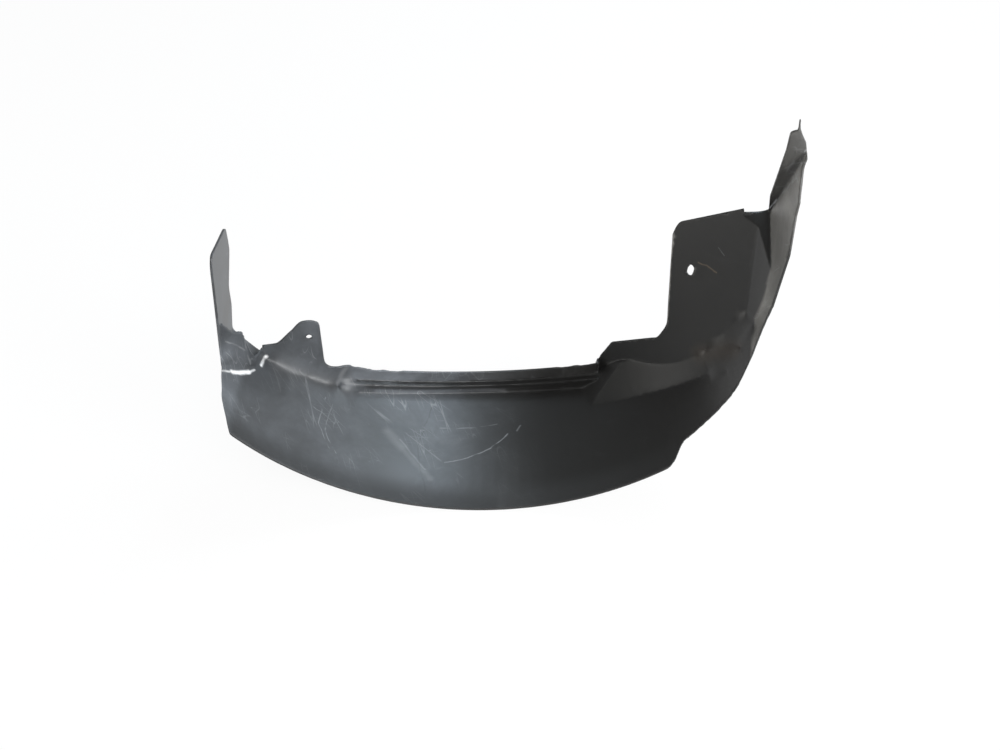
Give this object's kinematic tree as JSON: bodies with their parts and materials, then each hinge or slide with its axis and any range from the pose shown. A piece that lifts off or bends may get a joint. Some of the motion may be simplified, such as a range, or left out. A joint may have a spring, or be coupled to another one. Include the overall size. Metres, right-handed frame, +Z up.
{
  "type": "wheel arch liner",
  "caption": "Curved plastic liner for a car's wheel arch: a crown band with an inner flange and screw tab, a short leg, and a long leg with a side panel and a tip flange.",
  "frame": {"origin": "centre of the bounding box in plan, at the bottom of the crown, where the liner rests on the floor with its wheel side up", "axes": "+X along the car from the short leg to the long leg, +Y from the outer edge to the inner wall, +Z up into the space that the wheel takes"},
  "size_m": [0.6386, 0.219, 0.4765],
  "materials": {
    "liner": "satin black sheet, scuffed, with white stress marks at the short leg's fold"
  },
  "bodies": {
    "root": {"arch_liner": "liner"}
  },
  "joints": []
}
